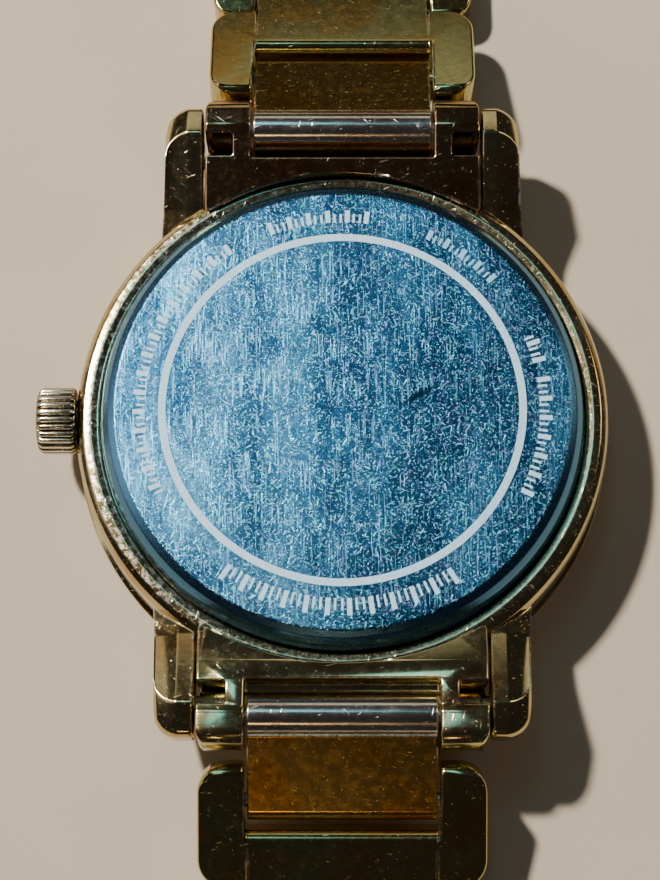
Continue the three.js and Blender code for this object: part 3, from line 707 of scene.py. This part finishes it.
backPlate = {"etch": 0.008, "ringRadius": 12.5, "ringWidth": 0.52}
etchedArcs = [  # first and last angle, radius, height, bars, bright
    {"from": 236, "to": 302, "radius": 14.2, "high": 1.2, "bars": 34, "finish": "etched"},
    {"from": 125, "to": 206, "radius": 14.1, "high": 0.85, "bars": 44, "finish": "etched"},
    {"from": 83, "to": 111, "radius": 14.1, "high": 0.9, "bars": 16, "finish": "etched"},
    {"from": 42, "to": 64, "radius": 14.1, "high": 0.75, "bars": 13, "finish": "etchedFaint"},
    {"from": 14, "to": 21, "radius": 14.1, "high": 0.95, "bars": 5, "finish": "etched"},
    {"from": -26, "to": 8, "radius": 14.1, "high": 0.9, "bars": 19, "finish": "etched"},
]


def etchedBars(name, facts):  # a plain row of bars, every third one wide
    top = backFace
    points = []
    faces = []
    for i in range(facts["bars"]):
        angle = math.radians(facts["from"] + (facts["to"] - facts["from"]) * i / (facts["bars"] - 1))
        out = Vector((math.cos(angle), math.sin(angle), 0))
        along = Vector((-out.y, out.x, 0))
        half = 0.17 if i % 3 == 0 else 0.08
        first = facts["radius"] - facts["high"] / 2
        last = facts["radius"] + facts["high"] / 2 - (0 if i % 3 == 0 else facts["high"] * 0.3)
        start = len(points)
        for z in (top - 0.03, top):
            for r, s in ((first, -half), (last, -half), (last, half), (first, half)):
                points.append(out * r + along * s + Vector((0, 0, z)))
        a, b, c, d, e, f, g, h = range(start, start + 8)
        faces += [(a, b, c, d), (e, f, g, h), (a, b, f, e), (b, c, g, f), (c, d, h, g), (d, a, e, h)]
    trim(meshPiece(name, points, faces), "case_back", facts["finish"])


def makeCaseBack():
    r = backHigh.x
    flat = backFace - backPlate["etch"]
    seat = rimHeight - 0.8
    lip = boreRadius - 0.12
    piece = turned("backPlate", [
        (0, backFace - 1.1),
        (lip - 0.85, backFace - 1.1),
        (lip - 0.85, seat - 0.2),
        (lip, seat - 0.2),
        (lip, seat + 0.45),
        (r, seat + 0.45, 0.05),
        (r, backFace - 1.55, 0.5),
        (r - 0.15, backFace - 0.85, 0.6),
        (r - 0.57, backFace - 0.3, 0.5),
        (r - 1.08, flat, 0.3),
        (0, flat),
    ], steps=7)
    standFor(smooth(piece), "case_back")
    middle = backPlate["ringRadius"]
    half = backPlate["ringWidth"] / 2
    inner, outer = middle - half, middle + half
    ring = [(inner, flat - 0.02), (outer, flat - 0.02), (outer, backFace), (inner, backFace)]
    trim(smooth(turned("etchedRing", ring)), "case_back", "etched")
    for i, facts in enumerate(etchedArcs):
        etchedBars(f"etchedBars{i + 1}", facts)


crown = {"flutes": 26, "depth": 0.24, "perFlute": 10}


def makeCrown():
    r = (crownHigh.z - crownLow.z) / 2
    inner = crownHigh.x
    outer = crownLow.x
    stations = [  # radius, place, share of the flutes' depth
        (0.01, inner - 1.75, 0), (1.45, inner - 1.75, 0), (1.5, inner - 0.02, 0), (1.56, inner, 0),
        (r - 0.42, inner, 0), (r - 0.28, inner - 0.03, 0.3),
        (r - 0.1, inner - 0.12, 0.8), (r, inner - 0.32, 1),
        (r, outer + 0.42, 1), (r - 0.07, outer + 0.25, 0.8), (r - 0.22, outer + 0.11, 0.3),
        (r - 0.42, outer + 0.03, 0), (r - 0.8, outer, 0), (0.01, outer, 0),
    ]
    steps = crown["flutes"] * crown["perFlute"]
    rings = []
    for radius, place, share in stations:
        ring = []
        for i in range(steps):
            angle = 2 * math.pi * i / steps
            groove = (0.5 + 0.5 * math.cos(crown["flutes"] * angle)) ** 3
            here = radius - crown["depth"] * share * groove
            ring.append((place, here * math.cos(angle), crownHeight + here * math.sin(angle)))
        rings.append(ring)
    standFor(smooth(skinned("crownKnob", rings), 40), "crown", "crownGold")


makeCase()
makeBezel()
makeCrystal()
makeCaseBack()
makeCrown()
print("case built")


# dial and hands

hands = {
    "second_hand": {"length": 12.6, "tail": 3.4, "width": 0.24, "hub": 0.5, "angle": -200},
    "minute_hand": {"length": 12.0, "tail": 2.0, "width": 0.8, "hub": 0.9, "angle": -60},
    "hour_hand": {"length": 8.2, "tail": 2.0, "width": 1.1, "hub": 1.15, "angle": 55},
}


def makeHand(node, facts):
    low, high = span(node)
    half = facts["width"] / 2
    shoulder = facts["length"] * 0.7
    blade = rounded([
        (-half, -facts["tail"], half * 0.6),
        (half, -facts["tail"], half * 0.6),
        (half, shoulder),
        (0, facts["length"]),
        (-half, shoulder),
    ], 5)
    piece = plate(node.replace("_hand", "Hand"), blade, low.z + 0.002, high.z - 0.002)
    hub = turned("hub", [(0, low.z), (facts["hub"], low.z), (facts["hub"], high.z), (0, high.z)], 48)
    carved(piece, ("UNION", hub))
    softened(piece, 0.03, segments=2)
    piece.data.transform(Matrix.Rotation(math.radians(facts["angle"]), 4, "Z"))
    standFor(piece, node)


def makeDial():
    front = dialHigh.z - 0.4
    profile = [(1.05, front), (dialRadius, front, 0.04), (dialRadius, dialHigh.z), (1.05, dialHigh.z)]
    standFor(smooth(turned("dialDisc", profile)), "dial")
    for hour in range(12):
        long = 3.2 if hour % 3 == 0 else 2.2
        outer = dialRadius - 1.6
        bar = block(f"hourBar{hour + 1}", (-0.3, 0.3), (outer - long, outer), (front - 0.18, front + 0.02))
        softened(bar, 0.06, segments=2)
        bar.data.transform(Matrix.Rotation(math.radians(30 * hour), 4, "Z"))
        trim(bar, "dial", "hand_gold")
    points = []
    faces = []
    for minute in range(60):
        angle = math.radians(6 * minute)
        out = Vector((math.sin(angle), math.cos(angle), 0))
        along = Vector((out.y, -out.x, 0))
        half = 0.07 if minute % 5 == 0 else 0.035
        start = len(points)
        for z in (front - 0.015, front + 0.01):
            for r, s in ((-1.25, -half), (-0.45, -half), (-0.45, half), (-1.25, half)):
                points.append(out * (dialRadius + r) + along * s + Vector((0, 0, z)))
        a, b, c, d, e, f, g, h = range(start, start + 8)
        faces += [(a, b, c, d), (e, f, g, h), (a, b, f, e), (b, c, g, f), (c, d, h, g), (d, a, e, h)]
    trim(meshPiece("minuteTrack", points, faces), "dial", "trackInk")


makeDial()
for node, facts in hands.items():
    makeHand(node, facts)
print("dial and hands built")


# the bracelet

bracelet = {"edge": 0.26, "endEdge": 0.16, "plateEdge": 0.12, "lip": 0.75, "pinDome": 0.12}


def strandPivots(word, links):
    names = [f"connector_{word}_hinge"] + [f"link_{word}_{i + 1}_hinge" for i in range(links)]
    return [pivots[name] for name in names]


def onStrand(pivot, onward, side):  # turns a piece drawn along +Y into its place on a strand
    slope = math.atan2(pivot.z - onward.z, abs(onward.y) - abs(pivot.y)) if onward is not None else 0
    matrix = Matrix.Translation(pivot * mm) @ Matrix.Rotation(-slope * side, 4, "X")
    return matrix @ Matrix.Rotation(math.pi, 4, "Z") if side < 0 else matrix


def makeEndLink():
    y = pivots["connector_upper_hinge"].y
    z = pivots["connector_upper_hinge"].z
    half = endHigh.x
    near = caseRadius - 4.7
    side = rounded([
        (near, 3.3),
        (y + 0.8, 3.5, 1.2),
        (y + 2, 4.8, 1.2),
        (y + 2.29, z + 1.35, 1.3),
        (y - 0.1, z + 1.49, 0.8),
        (caseRadius - 1.1, z + 0.7, 3),
        (near, z - 0.1),
    ])
    plan = rounded([(-half, near), (half, near), (half, y + 2.35, 1.3), (-half, y + 2.35, 1.3)])
    room = turned("room", [
        (0, 0), (caseRadius + 0.25, 0),
        (caseRadius + 0.25, rimHeight - 1), (caseRadius, rimHeight - 0.3),
        (caseRadius - 0.4, rimHeight + 0.1), (caseRadius - 0.95, rimHeight + 0.25),
        (caseRadius - 0.95, 12), (0, 12),
    ])
    notch = 0.6 * (half - fingerInner)
    floor = barMiddle.y + 0.95
    low = barMiddle.y - 0.75
    bar = (barMiddle.x - 0.8, barMiddle.x + 0.8)
    cuts = [
        room,
        block("slot", (-fingerInner, fingerInner), (barMiddle.x - 0.95, y + 4), (floor + 0.75, 12)),
        block("deep", (-fingerInner, fingerInner), (barMiddle.x - 0.3, y + 4), (floor, 12)),
        block("through", (-fingerInner, fingerInner), (y - 0.5, y + 4), (0, 12)),
        rod("barBore", 0.7, (-half - 1, half + 1), barMiddle.x, barMiddle.y),
        rod("pinBore", pinRadius + 0.03, (-half - 1, half + 1), y, z),
        block("notch", (-half - 1, -half + notch), bar, (low, 12)),
        block("notch", (half - notch, half + 1), bar, (low, 12)),
    ]
    piece = drawn("endLinkUpper", side, -half, half)
    carved(piece, ("INTERSECT", plate("plan", plan, 0, 12)), *[("DIFFERENCE", cut) for cut in cuts])
    softened(piece, bracelet["endEdge"], clamp=False)
    lower = copied(piece, "endLinkLower", Matrix.Diagonal((1, -1, 1, 1)))
    # one gold in a shaded copy for the upper end link and a lit copy for the lower: painted light
    standFor(piece, "end_link_upper", "endGoldShaded")
    standFor(lower, "end_link_lower", "endGoldLit")


def makeConnectorMesh():
    far = 5.74 + tongueReach
    slab = rounded([(0, -thick), (far, -thick, 0.9), (far, thick - 0.4, 0.8), (0, thick - 0.4)])
    piece = drawn("connector", slab, -tongueHalf, tongueHalf)
    barrel = rod("barrel", 1.45, (-tongueHalf, tongueHalf), 0, 0, 64)
    bores = [rod("bore", pinRadius + 0.06, (-linkHalf, linkHalf), y, 0) for y in (0, 5.74)]
    carved(piece, ("UNION", barrel), *[("DIFFERENCE", bore) for bore in bores])
    return softened(piece, bracelet["plateEdge"], clamp=False)


def makeLinkMesh():
    pitch = (pivots["clasp_hinge"] - pivots["link_upper_4_hinge"]).length
    shoulder = pitch - legReach - 0.45
    end = pitch + tongueReach
    lip = bracelet["lip"]
    side = rounded([
        (-legReach, -thick, 0.9), (shoulder, -thick),
        (shoulder, thick), (-legReach, thick, 0.7),
    ])
    plan = rounded([
        (-linkHalf, -legReach, 1.9), (linkHalf, -legReach, 1.9),
        (linkHalf, shoulder, 1.9), (-linkHalf, shoulder, 1.9),
    ])
    root = slotDepth + lip + 0.1
    tongue = rounded([(root, -thick), (end, -thick, 0.9), (end, thick, 0.8), (root, thick)])
    wall = [Vector((-legReach - 1, -thick - 1)), Vector((slotDepth, -thick - 1))]
    for i in range(9):
        angle = math.radians(90 * i / 8)
        wall.append(Vector((slotDepth + lip * (1 - math.cos(angle)), thick - lip * (1 - math.sin(angle)))))
    wall += [Vector((slotDepth + lip, thick + 1)), Vector((-legReach - 1, thick + 1))]
    piece = drawn("link", side, -linkHalf, linkHalf)
    carved(
        piece,
        ("INTERSECT", plate("plan", plan, -thick - 1, thick + 1)),
        ("DIFFERENCE", drawn("slot", wall, -fingerInner, fingerInner)),
        ("UNION", drawn("tongue", tongue, -tongueHalf, tongueHalf)),
        ("DIFFERENCE", rod("nearBore", pinRadius + 0.03, (-linkHalf - 1, linkHalf + 1), 0, 0)),
        ("DIFFERENCE", rod("farBore", pinRadius + 0.06, (-linkHalf - 1, linkHalf + 1), pitch, 0)),
    )
    return softened(piece, bracelet["edge"], clamp=False)


def makePinMesh(half):
    dome = bracelet["pinDome"]
    return smooth(turned("pin", [
        (0, -half), (pinRadius - dome, -half, 0.04), (pinRadius, -half + dome, 0.08),
        (pinRadius, half - dome, 0.08), (pinRadius - dome, half, 0.04), (0, half),
    ], 40, 4, "x"))


def makeSpringBar(name, node, radius, tip, x):  # x: ends of the body and of the tips
    low, high = span(node)
    body, reach = x
    bar = smooth(turned(name, [
        (0, -reach), (tip - 0.1, -reach, 0.05), (tip, -reach + 0.15, 0.05), (tip, -body, 0.02),
        (radius - 0.08, -body, 0.05), (radius, -body + 0.12, 0.05), (radius, body - 0.12, 0.05),
        (radius - 0.08, body, 0.05), (tip, body, 0.02),
        (tip, reach - 0.15, 0.05), (tip - 0.1, reach, 0.05), (0, reach),
    ], 48, 3, "x"), 40)
    middle = (low + high) / 2
    bar.data.transform(Matrix.Translation((0, middle.y * mm, middle.z * mm)))
    standFor(bar, node)


def makeStrand(word, side, links, connector, link, linkPin, endPin):
    places = strandPivots(word, links)
    if side > 0:
        places.append(pivots["clasp_hinge"])
    onward = places[1:] + [None]
    standFor(copied(endPin, f"endPin_{word}", onStrand(places[0], None, side)), f"end_link_pin_{word}")
    matrix = onStrand(places[0], onward[0], side)
    plateOn = copied(connector, f"connector_{word}_plate", matrix)
    standFor(plateOn, f"connector_{word}", "connectorGold")
    # the barrel faces take the pale copy of the connector gold: painted highlight
    plateOn.data.materials.append(finishes["barrelGoldLit"])
    for face in plateOn.data.polygons:
        apart = face.center / mm - places[0]
        face.material_index = int(math.hypot(apart.y, apart.z) < barrelReach)
    for i in range(1, links + 1):
        matrix = onStrand(places[i], onward[i], side)
        standFor(copied(link, f"link_{word}_{i}_body", matrix), f"link_{word}_{i}")
        standFor(copied(linkPin, f"link_{word}_{i}_pin", matrix), f"link_pin_{word}_{i}")


makeEndLink()
connectorMesh = makeConnectorMesh()
linkMesh = makeLinkMesh()
linkPinMesh = makePinMesh(linkHalf - 0.05)
endPinMesh = makePinMesh(endHigh.x - 0.15)
for word, side, links in (("upper", 1, 4), ("lower", -1, 5)):
    makeStrand(word, side, links, connectorMesh, linkMesh, linkPinMesh, endPinMesh)
    ends = (endHigh.x - 0.3, barHigh.x)
    makeSpringBar(f"springBar_{word}", f"spring_bar_{word}", 0.65, 0.4, ends)
print("bracelet built")


# the clasp

clasp = {"half": 8.8, "wall": 0.9, "floor": 0.6, "edge": 0.12}
claspAt = pivots["clasp_hinge"]


def atClasp(piece):
    piece.data.transform(Matrix.Translation(claspAt * mm))
    return piece


def makeClaspCover():
    half = clasp["half"]
    inner = half - clasp["wall"]
    far = span("clasp_cover")[1].y - claspAt.y
    fold = far - 0.7
    side = rounded([
        (-legReach, -thick, 0.9), (far, -thick, 0.5), (far, 0.75, 0.7),
        (fold - 1.6, 1.25, 0.8), (-legReach, thick, 0.7),
    ])
    plan = rounded([
        (-linkHalf, -legReach, 1), (linkHalf, -legReach, 1), (linkHalf, 2.6, 1.2),
        (half, 3.8, 1), (half, far + 0.3, 1),
        (-half, far + 0.3, 1), (-half, 3.8, 1), (-linkHalf, 2.6, 1.2),
    ])
    cuts = [
        block("slot", (-fingerInner, fingerInner), (-legReach - 1, slotDepth), (-thick - 1, thick + 1)),
        block("tray", (-inner, inner), (slotDepth + 1.2, far + 2), (-clasp["floor"], thick + 1)),
        block("lip", (-inner, inner), (fold + 0.45, far + 2), (-thick - 1, thick + 1)),
        rod("pinBore", pinRadius + 0.03, (-linkHalf - 1, linkHalf + 1), 0, 0),
        rod("foldBore", 0.37, (-inner - 0.5, inner + 0.5), fold, 0),
        block("buttonRoom", (-linkHalf, linkHalf), (11 - 1.55, 11 + 1.55), (0.15 - 0.65, 0.15 + 0.65)),
    ]
    piece = drawn("claspCover", side, -linkHalf, linkHalf)
    carved(piece, ("INTERSECT", plate("plan", plan, -2.4, 2.4)), *[("DIFFERENCE", cut) for cut in cuts])
    standFor(atClasp(softened(piece, clasp["edge"])), "clasp_cover")


def softenNode(node, width):  # a carried-over node gets worn edges
    piece = frame["nodes"][node]
    for face in piece.data.polygons:
        face.use_smooth = True
    edge = piece.modifiers.new("edges", "BEVEL")
    edge.width = width * mm
    edge.segments = 2
    edge.limit_method = "ANGLE"
    edge.angle_limit = math.radians(35)
    even = piece.modifiers.new("even", "WEIGHTED_NORMAL")
    even.keep_sharp = True


makeClaspCover()
for word in ("right", "left"):
    node = f"push_button_{word}"
    low, high = span(node)
    button = block(f"pushButton_{word}", (low.x, high.x), (low.y, high.y), (low.z, high.z))
    standFor(softened(button, 0.22), node)
standFor(copied(linkPinMesh, "claspHingePin", Matrix.Translation(claspAt * mm)), "clasp_pin")
for spare in (connectorMesh, linkMesh, linkPinMesh, endPinMesh):
    bpy.data.objects.remove(spare)
print("clasp built")


# nodes that keep their own shape

for name, node in frame["nodes"].items():
    node.data.materials.clear()
    node.data.materials.append(finishes[subparts[name]["material_slot"]])
for name in (
    "crystal_gasket", "case_back_gasket", "crown_tube", "crown_gasket", "stem", "setting_lever",
    "seconds_wheel", "centre_wheel", "hour_wheel", "movement_ring", "main_plate", "train_bridge",
    "coil", "battery", "battery_clamp", "clasp_outer_leaf", "clasp_inner_leaf", "clasp_spring_bar",
):
    softenNode(name, 0.05)
print("inner pieces finished")


# floor, lights and camera

def makeStage():
    half = 3000
    corners = [(x * half, y * half, -0.02) for x, y in ((-1, -1), (1, -1), (1, 1), (-1, 1))]
    piece = meshPiece("floor", corners, [(0, 1, 2, 3)])
    piece.data.materials.append(floorPaint("floorPaint"))
    world = bpy.data.worlds.new("studio")
    world.use_nodes = True
    background = world.node_tree.nodes["Background"]
    background.inputs["Color"].default_value = (*studio["world"], 1)
    scene.world = world
    for name, facts in studio["lamps"].items():
        makeLamp(name, *facts)


makeStage()
makeCamera()
print("stage set")
